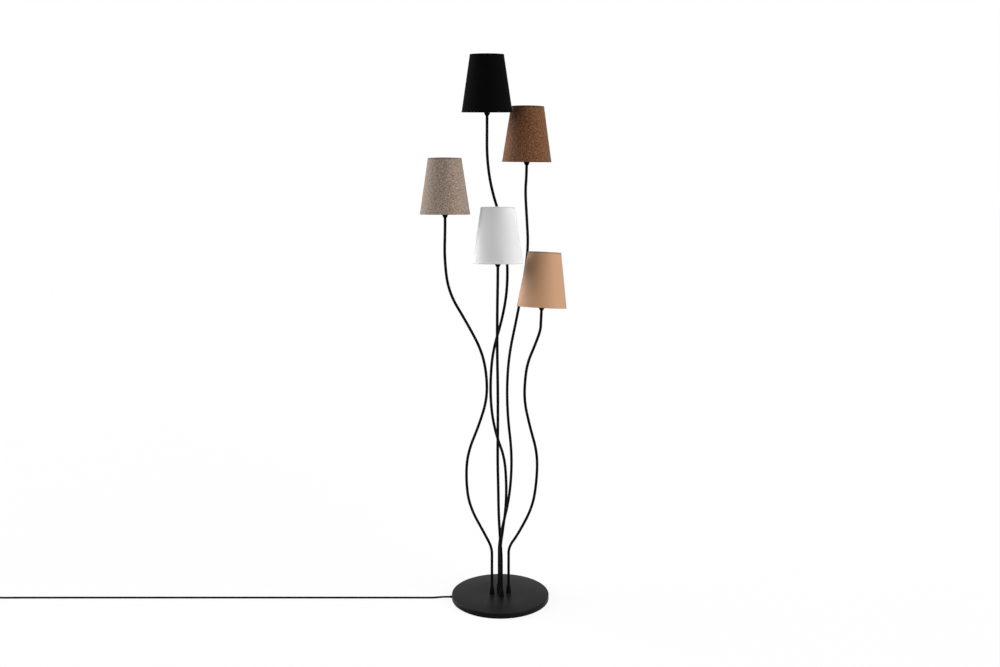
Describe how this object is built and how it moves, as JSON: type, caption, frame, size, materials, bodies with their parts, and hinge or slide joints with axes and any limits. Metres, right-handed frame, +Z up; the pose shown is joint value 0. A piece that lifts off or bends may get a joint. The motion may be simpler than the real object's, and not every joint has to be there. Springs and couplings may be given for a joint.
{
  "type": "tree floor lamp",
  "caption": "Tree floor lamp: wavy black tube stems rise from a round weighted base, each with a tapered fabric shade at its own height, and a mains lead with a foot switch.",
  "frame": {"origin": "on the floor, at the middle of the round base's anti-slip pad", "axes": "+Z up, -Y towards the viewer of the picture, the mains lead leaves along -X"},
  "size_m": [2.0364, 0.305, 1.6385],
  "materials": {
    "black_coat": "satin black powder coat",
    "black_plastic": "matt black",
    "cap_metal": "plated",
    "cord_rubber": "satin black sheath",
    "diffuser": "opal white",
    "fabric_black": "smooth black fabric",
    "fabric_brown": "mottled brown tweed",
    "fabric_grey": "mottled grey and taupe tweed",
    "fabric_tan": "smooth tan fabric",
    "fabric_white": "smooth off-white fabric",
    "iron": "as cast",
    "pad_rubber": "matt",
    "pin_brass": "nickel plated",
    "steel": "zinc plated",
    "white_plastic": "matt white",
    "wire_coat": "white coated wire"
  },
  "bodies": {
    "lamp": {"anti_slip_pad": "pad_rubber", "ballast": "iron", "base_cover": "black_coat", "base_plate": "steel", "bulb_black": "diffuser", "bulb_brown": "diffuser", "bulb_caps": "cap_metal", "bulb_grey": "diffuser", "bulb_tan": "diffuser", "bulb_white": "diffuser", "collar_set_screws": "steel", "cord_clamp": "white_plastic", "cord_coil": "cord_rubber", "cord_lead_in": "cord_rubber", "cord_relief": "cord_rubber", "lampholder_black": "black_plastic", "lampholder_brown": "black_plastic", "lampholder_grey": "black_plastic", "lampholder_tan": "black_plastic", "lampholder_white": "black_plastic", "mains_cord": "cord_rubber", "plate_screws": "steel", "plug_body": "black_plastic", "plug_pins": "pin_brass", "shade_black": "fabric_black", "shade_brown": "fabric_brown", "shade_frame_black": "wire_coat", "shade_frame_brown": "wire_coat", "shade_frame_grey": "wire_coat", "shade_frame_tan": "wire_coat", "shade_frame_white": "wire_coat", "shade_grey": "fabric_grey", "shade_ring_nuts": "black_plastic", "shade_tan": "fabric_tan", "shade_top_rings": "wire_coat", "shade_white": "fabric_white", "socket_cup_black": "black_coat", "socket_cup_brown": "black_coat", "socket_cup_grey": "black_coat", "socket_cup_tan": "black_coat", "socket_cup_white": "black_coat", "stem_black": "black_coat", "stem_brown": "black_coat", "stem_collars": "black_coat", "stem_grey": "black_coat", "stem_leads": "white_plastic", "stem_nuts": "steel", "stem_tan": "black_coat", "stem_washers": "steel", "stem_white": "black_coat", "switch_boots": "cord_rubber", "switch_core": "white_plastic", "switch_lower": "black_plastic", "switch_screws": "steel", "switch_upper": "black_plastic", "terminal_block": "white_plastic"},
    "button": {"foot_button": "black_plastic"}
  },
  "joints": [
    {"name": "foot_button_press", "type": "slide", "parent": "lamp", "child": "button", "axis": [0, 0, -1], "range_m": [0, 0.003], "stiffness_N_per_m": 1500, "springref_m": -0.004}
  ]
}
